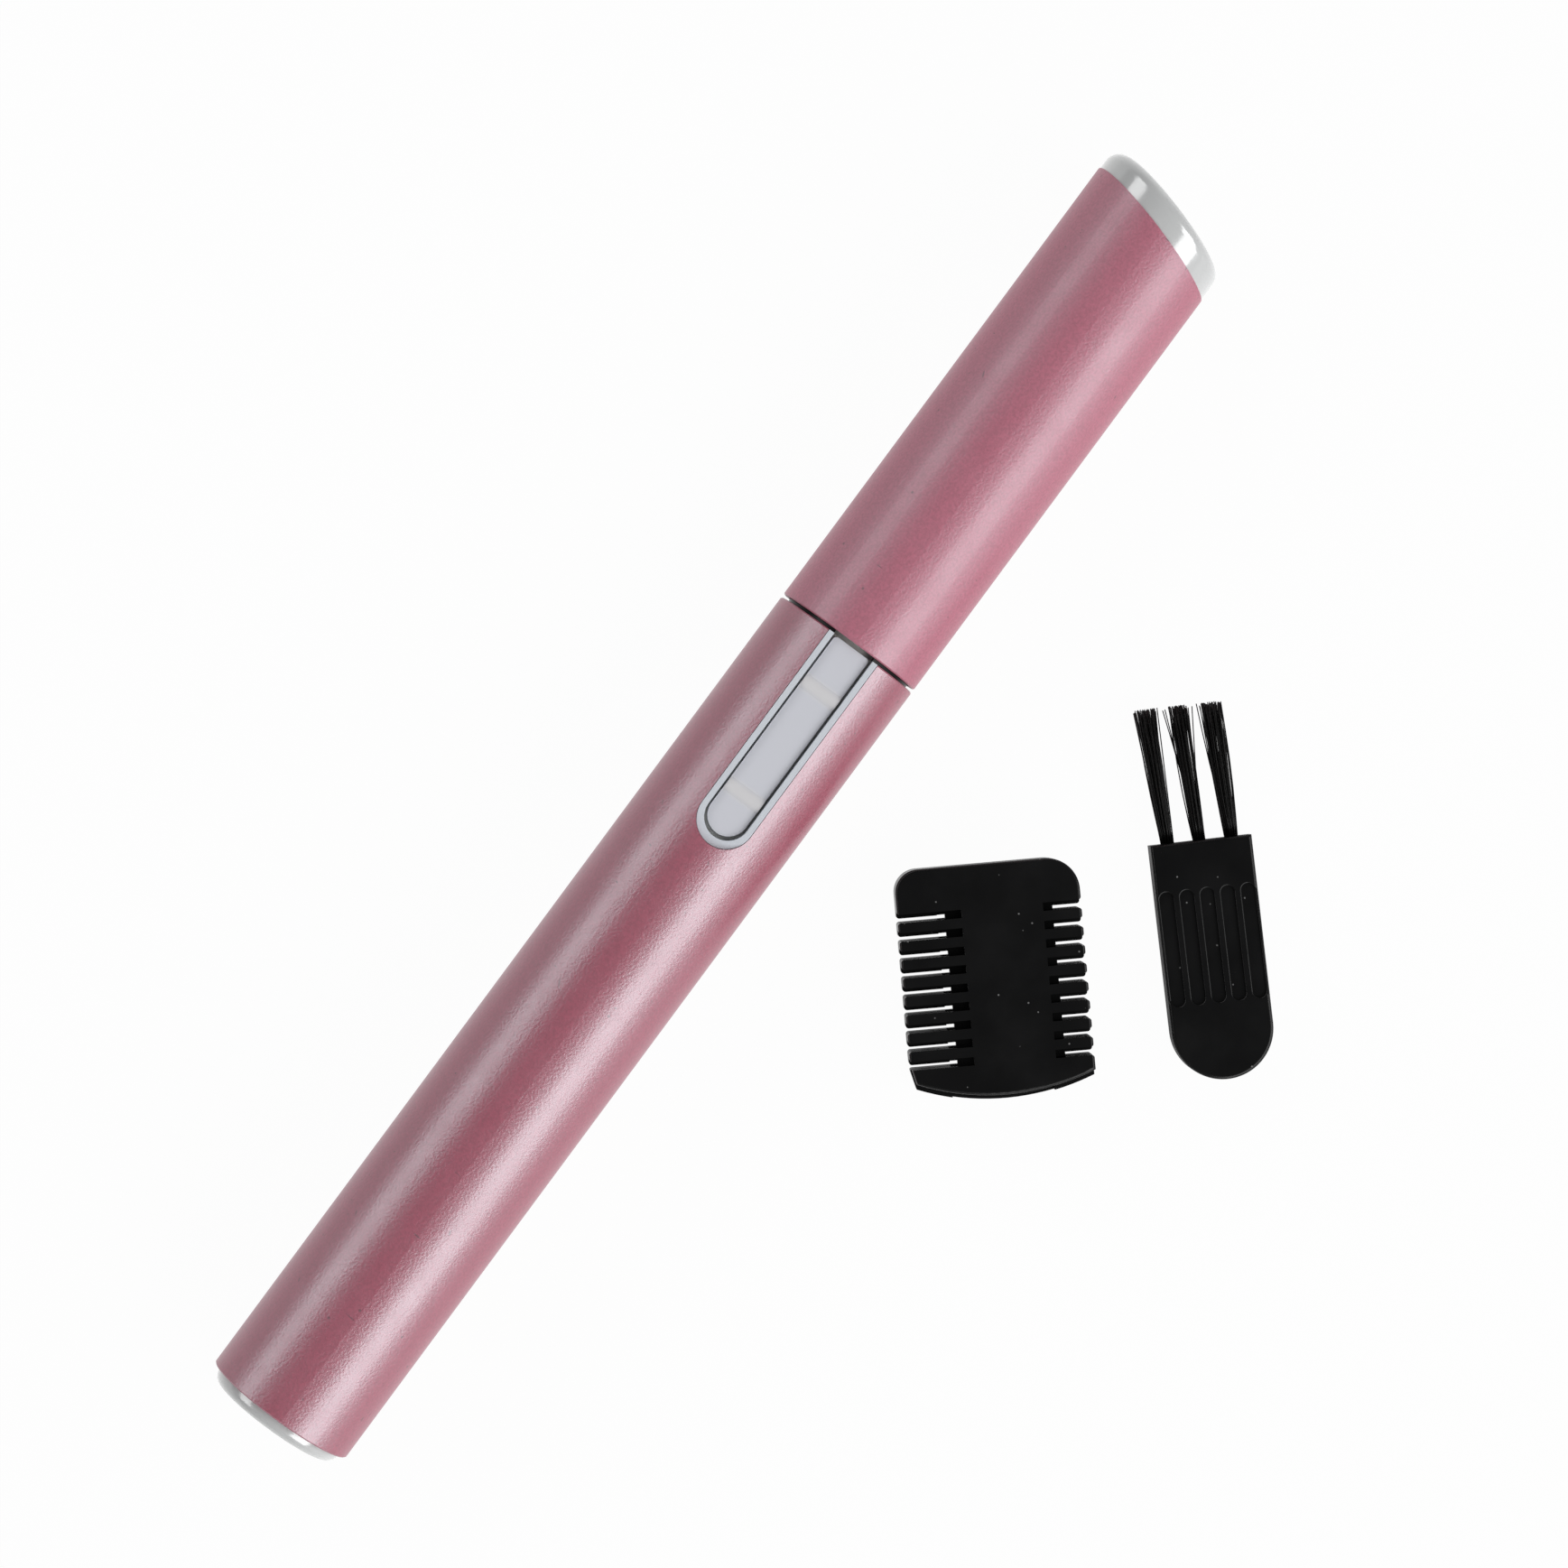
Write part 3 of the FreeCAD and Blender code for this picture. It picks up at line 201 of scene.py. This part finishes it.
# ---------------------------------------------------------------- materials
FLAKE_CONTRAST = 0.12
WORN_BRIGHTNESS = 0.45  # of the paint's, in a wear mark
SPECKS = {"scale": 420, "reach": 0.07, "share": 0.45}
SCRATCHES = {
    "scale": 1500, "reach": 0.16, "share": 0.07, "stretch": (9, 1, 1), "turn": (0.3, 0.1, 0.5),
}
HAIRLINES = {
    "scale": 1700, "reach": 0.15, "share": 0.06, "stretch": (12, 1, 1), "turn": (0.9, 0.1, 1.5),
}
DUST_SPECKS = {"scale": 800, "reach": 0.08, "share": 0.55}
# where the painted rib highlight lies on the switch's plate
RIB_MIDDLE = 0.483  # place of the middle between the ribs, as a share of the plate's length
RIB_SPACING = 11.7 * MM
RIB_FLAT = 0.4 * MM  # from a rib's middle
RIB_FOOT = 1.0 * MM


def pearl_paint(name, colour, roughness, refraction):
    """Satin pearl lacquer: fine flakes, a wide soft gloss, a thin crisp coat and light wear."""
    material, tree, shader = new_material(name)
    shader.inputs["IOR"].default_value = refraction
    shader.inputs["Specular Tint"].default_value = PEARL_SHEEN
    shader.inputs["Coat Weight"].default_value = 0.2
    shader.inputs["Coat Roughness"].default_value = 0.08
    flakes = noise(tree, scale=4200, detail=3.0)
    base = linear(colour)
    dark = scaled(base, 1 - FLAKE_CONTRAST)
    light = scaled(base, 1 + FLAKE_CONTRAST)
    mixed = mottle(tree, flakes, HARD_SWING, dark, light)
    for wear in (SPECKS, SCRATCHES, HAIRLINES):
        mixed = blend_colours(tree, marks(tree, **wear), mixed, scaled(base, WORN_BRIGHTNESS))
    tree.links.new(mixed, shader.inputs["Base Color"])
    waves = noise(tree, scale=350, detail=3.0)
    roughen(tree, shader, waves, WIDE_SWING, roughness * 0.95, roughness * 1.05)
    bump(tree, shader, flakes, distance=0.04 * MM, strength=1.0)
    return material


def plating(name):
    """Bright plating over white plastic, with faint waves."""
    material, tree, shader = new_material(name)
    shader.inputs["Base Color"].default_value = linear(CHROME)
    shader.inputs["Metallic"].default_value = 0.14
    shader.inputs["Coat Weight"].default_value = 0.7
    shader.inputs["Coat Roughness"].default_value = 0.06
    roughen(tree, shader, noise(tree, scale=500, detail=3.0), WIDE_SWING, 0.14, 0.22)
    bump(tree, shader, noise(tree, scale=300, detail=1.0), distance=0.02 * MM, strength=0.15)
    return material


def moulded(name, colour, roughness, spots, gloss=0.5):
    """Moulded plastic with a faint grain; spots is how much it varies in brightness."""
    material, tree, shader = new_material(name)
    shader.inputs["Specular IOR Level"].default_value = gloss
    base = linear(colour)
    dark = scaled(base, 1 - spots)
    light = scaled(base, 1 + spots)
    mixed = mottle(tree, noise(tree, scale=900, detail=4.0), WIDE_SWING, dark, light)
    tree.links.new(mixed, shader.inputs["Base Color"])
    roughen(tree, shader, noise(tree, scale=2500), WIDE_SWING, roughness * 0.85, roughness * 1.15)
    bump(tree, shader, noise(tree, scale=3000), distance=0.01 * MM, strength=0.2)
    return material


def black_moulding(name, roughness):
    """Black plastic with a dull patchy sheen and specks of dust."""
    material, tree, shader = new_material(name)
    shader.inputs["Specular IOR Level"].default_value = 0.25
    base = linear(BLACK)
    mixed = mottle(tree, noise(tree, scale=260, detail=4.0), DARK_SWING, base, scaled(base, 1.6))
    mixed = blend_colours(tree, marks(tree, **DUST_SPECKS), mixed, linear(DUST))
    tree.links.new(mixed, shader.inputs["Base Color"])
    patches = noise(tree, scale=180, detail=5.0)
    roughen(tree, shader, patches, HARD_SWING, roughness * 0.8, roughness * 1.3)
    bump(tree, shader, noise(tree, scale=1800, detail=3.0), distance=0.01 * MM, strength=0.3)
    return material


def ribbed_plate(name):
    """The switch's plate: satin grey plastic, painted paler over its two ribs as a painted
    highlight.
    """
    material, tree, shader = new_material(name)
    low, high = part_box("switch_plate")
    middle = low.x + RIB_MIDDLE * (high.x - low.x)
    from_middle = calculate(
        tree, "ABSOLUTE", calculate(tree, "SUBTRACT", coordinates(tree)["X"], middle)
    )
    from_rib = calculate(
        tree, "ABSOLUTE", calculate(tree, "SUBTRACT", from_middle, RIB_SPACING / 2)
    )
    # painted highlight: a paler band over each rib, fading out at its foot
    painted_rib_highlight = remap(tree, from_rib, RIB_FLAT, RIB_FOOT, 1, 0)
    mixed = blend_colours(tree, painted_rib_highlight, linear(PLATE_GREY), linear(RIB_HIGHLIGHT_GREY))
    tree.links.new(mixed, shader.inputs["Base Color"])
    roughen(tree, shader, noise(tree, scale=2500), WIDE_SWING, 0.30, 0.42)
    bump(tree, shader, noise(tree, scale=3000), distance=0.01 * MM, strength=0.2)
    return material


def brushed_metal(name, colour, roughness):
    """Bare metal with fine lines along the pen."""
    material, tree, shader = new_material(name)
    shader.inputs["Metallic"].default_value = 1.0
    lines = noise(tree, scale=3000, stretch=(0.02, 1, 1))
    base = linear(colour)
    mixed = mottle(tree, lines, WIDE_SWING, scaled(base, 0.85), base)
    tree.links.new(mixed, shader.inputs["Base Color"])
    roughen(tree, shader, lines, WIDE_SWING, roughness * 0.8, roughness * 1.2)
    bump(tree, shader, lines, distance=0.005 * MM, strength=0.3)
    return material


MATERIALS = {
    "pink_barrel": pearl_paint("pink_barrel_paint", PINK_BARREL, roughness=0.42, refraction=2.62),
    "pink_cap": pearl_paint("pink_cap_paint", PINK_CAP, roughness=0.52, refraction=2.3),
    "bright_plating": plating("bright_plating_chrome"),
    "grey_plate": ribbed_plate("grey_plate_plastic"),
    "grey_bezel": moulded("grey_bezel_plastic", BEZEL_GREY, roughness=0.25, spots=0.02),
    "white_plastic": moulded("white_plastic_moulding", IVORY, roughness=0.5, spots=0.03),
    "black_plastic": black_moulding("black_plastic_moulding", roughness=0.36),
    "black_comb": black_moulding("black_comb_plastic", roughness=0.28),
    "bristle_nylon": moulded("bristle_nylon_black", NYLON, roughness=0.35, spots=0.2, gloss=0.2),
    "steel": brushed_metal("steel_brushed", STEEL, roughness=0.3),
    "brass": brushed_metal("brass_strip", BRASS, roughness=0.3),
    "cell_can": brushed_metal("cell_can_printed", CELL_BLUE, roughness=0.35),
}


def dress_nodes():
    """Gives every CAD node the material of its slot."""
    for part in frame["record"]["subparts"]:
        node = frame["nodes"][part["node"]]
        node.data.materials.clear()
        node.data.materials.append(MATERIALS[part["material_slot"]])


# ---------------------------------------------------------------- bristles
UPWARD = Vector((0, 0, 1))
BRUSH_TURN = math.radians(43.1)  # from +X to the way the bristles point
TUFT_COUNT = 3
TUFT_PITCH = 3.0 * MM
TUFT_FOOT_RADIUS = 0.56 * MM
TUFT_LEAN = math.tan(math.radians(1.7))
TUFT_TIP_SPREADS = (1.06 * MM, 0.93 * MM, 1.13 * MM)
TUFT_TIP_SWAYS = (0.15 * MM, 0.20 * MM, 0.28 * MM)  # of the tips, added to the lean
STRAY_TIPS = ((1.25 * MM,), (1.40 * MM, 1.25 * MM, -1.35 * MM), ())  # from each tuft's middle
TUFT_FLATNESS = 0.75  # of a tuft's tip, in height over width
TUFT_SEED = 40
BRISTLES_PER_TUFT = 75
BRISTLE_RADIUS = 0.065 * MM
BRISTLE_TAPER = 0.25  # of the radius, lost by the tip
BRISTLE_RINGS = 6
BRISTLE_SIDES = 6
BRISTLE_ROOT = 0.8 * MM  # inside the handle
GOLDEN_ANGLE = 2.39996  # fills a round section evenly, as in a sunflower
ANGLE_JITTER = 0.2
SHORTEST_RUN = 0.98  # of the tuft's length
LONGEST_RUN = 1.015
TIP_JITTER_ACROSS = 0.06  # these four in millimetres
TIP_JITTER_UP = 0.04
BOW_ACROSS = 0.10
BOW_UP = 0.06


def brush_places():
    """The brush's directions, the middle of its bristle end and the bristles' full length."""
    along = Vector((math.cos(BRUSH_TURN), math.sin(BRUSH_TURN), 0))
    across = Vector((-along.y, along.x, 0))
    handle = [vertex.co for vertex in frame["nodes"]["brush_handle"].data.vertices]
    tufts = [vertex.co for vertex in frame["nodes"]["bristle_tufts"].data.vertices]
    sides = [point.dot(across) for point in handle]
    heights = [point.z for point in handle]
    end = max(point.dot(along) for point in handle)
    middle = across * ((min(sides) + max(sides)) / 2) + along * end
    middle.z = (min(heights) + max(heights)) / 2
    length = max(point.dot(along) for point in tufts) - end
    return along, across, middle, length


def add_bristle(mesh, foot, tip, bow):
    """One hair as a thin tapering tube from foot to tip, bowed sideways in its middle."""
    along = (tip - foot).normalized()
    side = along.cross(UPWARD).normalized()
    over = side.cross(along)
    rings = []
    for step in range(BRISTLE_RINGS):
        share = step / (BRISTLE_RINGS - 1)
        centre = foot.lerp(tip, share) + bow * math.sin(math.pi * share)
        radius = BRISTLE_RADIUS * (1 - BRISTLE_TAPER * share)
        ring = []
        for corner in range(BRISTLE_SIDES):
            angle = math.tau * corner / BRISTLE_SIDES
            outward = side * math.cos(angle) + over * math.sin(angle)
            ring.append(mesh.verts.new(centre + outward * radius))
        rings.append(ring)
    for near, far in zip(rings, rings[1:]):
        for corner in range(BRISTLE_SIDES):
            following = (corner + 1) % BRISTLE_SIDES
            mesh.faces.new((near[corner], near[following], far[following], far[corner]))
    mesh.faces.new(list(reversed(rings[0])))
    mesh.faces.new(rings[-1])


def make_tuft(index):
    """One tuft of bristles that fans out towards its ragged tip, with its few strays."""
    spread = TUFT_TIP_SPREADS[index]
    strays = STRAY_TIPS[index]
    chance = random.Random(TUFT_SEED + index)
    along, across, middle, length = brush_places()
    centre = middle + across * (index - (TUFT_COUNT - 1) / 2) * TUFT_PITCH
    mesh = bmesh.new()
    for count in range(BRISTLES_PER_TUFT):
        reach = math.sqrt((count + 0.5) / BRISTLES_PER_TUFT)
        angle = count * GOLDEN_ANGLE + chance.uniform(-ANGLE_JITTER, ANGLE_JITTER)
        y = reach * math.cos(angle)
        z = reach * math.sin(angle)
        foot = centre + (across * y + UPWARD * z) * TUFT_FOOT_RADIUS - along * BRISTLE_ROOT
        run = length * chance.uniform(SHORTEST_RUN, LONGEST_RUN)
        tip = centre + along * run + across * (run * TUFT_LEAN)
        aside = strays[count] if count < len(strays) else y * spread
        aside += TUFT_TIP_SWAYS[index] + chance.gauss(0, TIP_JITTER_ACROSS) * MM
        above = z * spread * TUFT_FLATNESS + chance.gauss(0, TIP_JITTER_UP) * MM
        tip += across * aside + UPWARD * above
        bow = (across * chance.gauss(0, BOW_ACROSS) + UPWARD * chance.gauss(0, BOW_UP)) * MM
        add_bristle(mesh, foot, tip, bow)
    data = bpy.data.meshes.new("tuft_%d" % index)
    mesh.to_mesh(data)
    mesh.free()
    for face in data.polygons:
        face.use_smooth = True
    tuft = bpy.data.objects.new("bristles_%d" % index, data)
    bpy.context.scene.collection.objects.link(tuft)
    data.materials.append(MATERIALS["bristle_nylon"])
    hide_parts("bristle_tufts")
    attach(tuft, "brush")


dress_nodes()
for tuft_index in range(TUFT_COUNT):
    make_tuft(tuft_index)


# ---------------------------------------------------------------- studio
VIEW_UP = Vector((0.809, 0.588, 0))  # the picture's upward direction, in the table's plane
VIEW_RIGHT = Vector((0.588, -0.809, 0))
CAMERA_TARGET = Vector((74.3, -3.02, 0)) * MM
CAMERA_DISTANCE = 500 * MM
CAMERA_TILT = math.radians(0.5)  # off straight down, away from VIEW_RIGHT
CAMERA_LENS = 123.8
CAMERA_ROLL = math.radians(-0.5)
CAMERA_SENSOR = 36.0
CAMERA_NEAREST = 0.01
CAMERA_FARTHEST = 20
WORLD_HORIZON = 0.55  # brightness level with the table
WORLD_ZENITH = 0.19  # brightness from ZENITH_HEIGHT up
ZENITH_HEIGHT = 0.7  # of a direction of length 1
WORLD_LEFT_SHARE = 0.35  # of the brightness, far towards +Y
LEFT_FROM, LEFT_TO = 0.1, 0.8  # how far a direction of length 1 points towards +Y
FLOOR_SIZE = 6
FLOOR_GREY = 0.6  # linear
FLOOR_SEEN_SHARE = 0.97  # of plain white in what the camera sees of the floor
FLOOR_MIRRORED_NEAR = 1.0  # the same, in what glossy pieces show of the floor beside the pen
FLOOR_MIRRORED_FAR = 0.1
FLOOR_NEAR = 12 * MM
FLOOR_FAR = 36 * MM
LAMP_DISTANCE = 0.7
LAMP_LENGTH = 1.2
LAMPS = (  # name, degrees from straight up towards -Y, half width in degrees, radiance
    ("lamp_right", 56, 17, 3.9),
    ("lamp_left", -56, 12, 2.7),
)


def aim(obj, x_axis, y_axis, z_axis, location):
    """Puts an object somewhere with its own axes along the given directions."""
    columns = (x_axis, y_axis, z_axis, location)
    rows = [[column[row] for column in columns] for row in range(3)]
    obj.matrix_world = Matrix([*rows, (0, 0, 0, 1)])


def make_camera():
    """The camera over the table, at the product picture's viewing angle."""
    back = (UPWARD * math.cos(CAMERA_TILT) - VIEW_RIGHT * math.sin(CAMERA_TILT)).normalized()
    level = VIEW_UP.normalized()
    up = level * math.cos(CAMERA_ROLL) + level.cross(back) * math.sin(CAMERA_ROLL)
    data = bpy.data.cameras.new("camera")
    data.lens = CAMERA_LENS
    data.sensor_width = CAMERA_SENSOR
    data.clip_start = CAMERA_NEAREST
    data.clip_end = CAMERA_FARTHEST
    camera = bpy.data.objects.new("camera", data)
    bpy.context.scene.collection.objects.link(camera)
    aim(camera, up.cross(back), up, back, CAMERA_TARGET + back * CAMERA_DISTANCE)
    bpy.context.scene.camera = camera


def strip_lamp(name, tilt, half_spread, radiance):
    """A long soft lamp beside the pen and parallel to it."""
    width = 2 * LAMP_DISTANCE * math.tan(math.radians(half_spread))
    data = bpy.data.lights.new(name, "AREA")
    data.shape = "RECTANGLE"
    data.size = LAMP_LENGTH
    data.size_y = width
    data.energy = radiance * math.pi * LAMP_LENGTH * width
    lamp = bpy.data.objects.new(name, data)
    bpy.context.scene.collection.objects.link(lamp)
    back = Vector((0, -math.sin(math.radians(tilt)), math.cos(math.radians(tilt))))
    along = Vector((1, 0, 0))
    aim(lamp, along, back.cross(along), back, PEN_MIDDLE + back * LAMP_DISTANCE)


def floor_whiteness(tree):
    """How much of the floor's look is plain white: nearly all of it where the camera sees it, and
    in reflections most beside the pen; none in the light that it sends on."""
    path = add(tree, "ShaderNodeLightPath").outputs
    mirrored = calculate(tree, "MAXIMUM", path["Is Glossy Ray"], path["Is Transmission Ray"])
    aside = calculate(tree, "ABSOLUTE", coordinates(tree)["Y"])
    level = remap(
        tree, aside, FLOOR_NEAR, FLOOR_FAR, FLOOR_MIRRORED_NEAR, FLOOR_MIRRORED_FAR
    )
    in_mirror = calculate(tree, "MULTIPLY", mirrored, level)
    in_view = calculate(tree, "MULTIPLY", path["Is Camera Ray"], FLOOR_SEEN_SHARE)
    return calculate(tree, "ADD", in_view, in_mirror)


def make_floor():
    """A pale table that the camera sees as white, with a trace of the object's shadow."""
    bpy.ops.mesh.primitive_plane_add(size=FLOOR_SIZE, location=(PEN_MIDDLE.x, 0, FLOOR_LEVEL))
    floor = bpy.context.object
    floor.name = "floor"
    material, tree, shader = new_material("floor_pale")
    shader.inputs["Base Color"].default_value = (FLOOR_GREY, FLOOR_GREY, FLOOR_GREY, 1)
    shader.inputs["Roughness"].default_value = 0.9
    shader.inputs["Specular IOR Level"].default_value = 0.1
    glow = add(tree, "ShaderNodeEmission", Color=(1, 1, 1, 1), Strength=1.0)
    mix = add(tree, "ShaderNodeMixShader")
    tree.links.new(floor_whiteness(tree), mix.inputs["Fac"])
    tree.links.new(shader.outputs[0], mix.inputs[1])
    tree.links.new(glow.outputs[0], mix.inputs[2])
    tree.links.new(mix.outputs[0], tree.nodes["Material Output"].inputs["Surface"])
    floor.data.materials.append(material)


def make_world():
    """Pale surroundings that are brighter towards the horizon and darker towards +Y."""
    world = bpy.data.worlds.new("studio")
    bpy.context.scene.world = world
    world.use_nodes = True
    tree = world.node_tree
    direction = coordinates(tree, "Generated")
    by_height = remap(tree, direction["Z"], 0, ZENITH_HEIGHT, WORLD_HORIZON, WORLD_ZENITH)
    by_side = remap(tree, direction["Y"], LEFT_FROM, LEFT_TO, 1, WORLD_LEFT_SHARE)
    background = tree.nodes["Background"]
    tree.links.new(calculate(tree, "MULTIPLY", by_height, by_side), background.inputs["Strength"])
    background.inputs["Color"].default_value = (1, 1, 1, 1)


make_camera()
make_floor()
make_world()
for lamp_settings in LAMPS:
    strip_lamp(*lamp_settings)
bpy.context.scene.view_settings.view_transform = "Standard"
